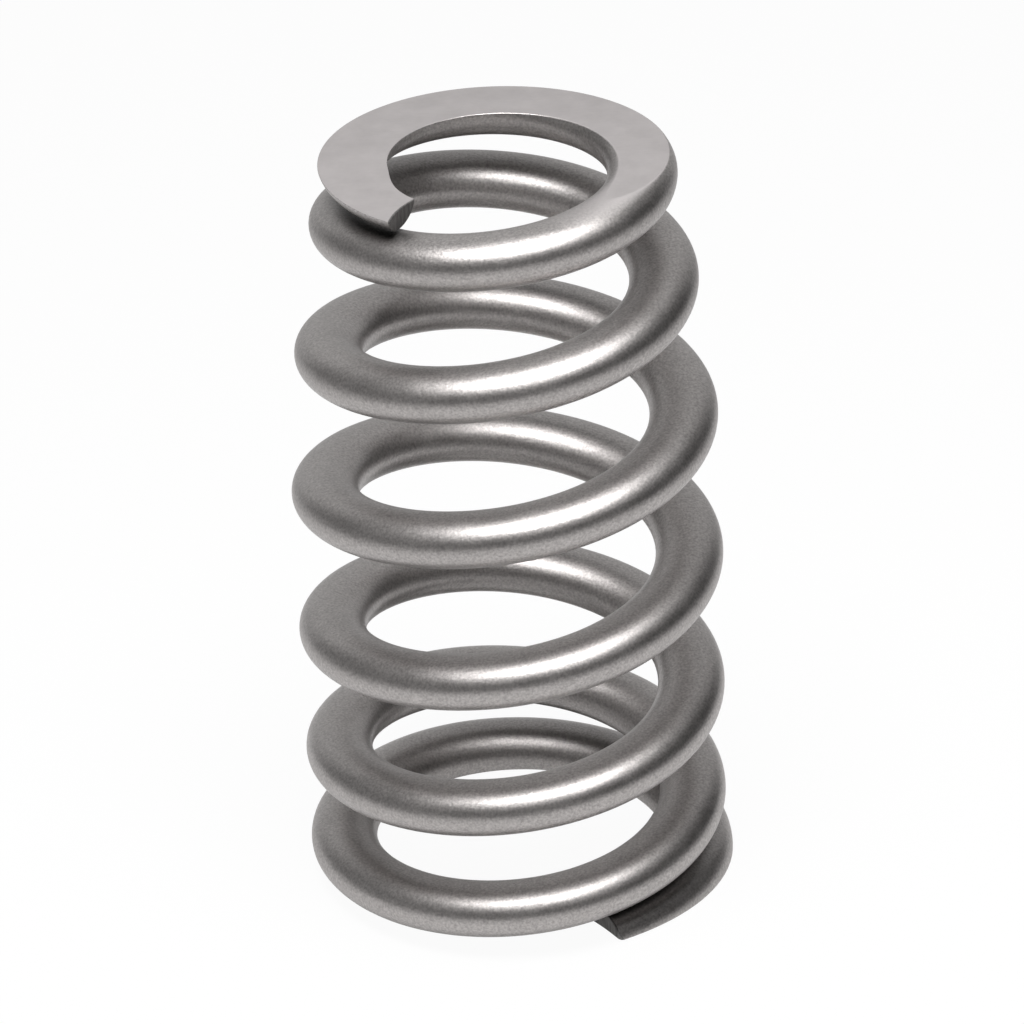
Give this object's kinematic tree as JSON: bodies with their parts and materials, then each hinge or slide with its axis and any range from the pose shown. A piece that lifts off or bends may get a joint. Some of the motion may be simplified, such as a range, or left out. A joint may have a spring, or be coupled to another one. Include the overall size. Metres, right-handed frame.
{
  "type": "engine valve spring",
  "caption": "Beehive compression spring of ovate steel wire, straight at the base and narrowing to a smaller top, with closed ends ground flat, to close an engine valve.",
  "frame": {"origin": "centre of the bottom ground face, on the coil's axis, where the spring stands on its seat", "axes": "+Z along the coil's axis, from the large ground base up to the small top that takes the retainer; -Y towards the viewer of the picture"},
  "size_m": [0.0321, 0.0316, 0.0576],
  "materials": {
    "spring_steel": "satin grey shot-peened spring steel with a fine grain, the two end faces ground matte and paler"
  },
  "bodies": {
    "root": {"valve_spring": "spring_steel"}
  },
  "joints": []
}
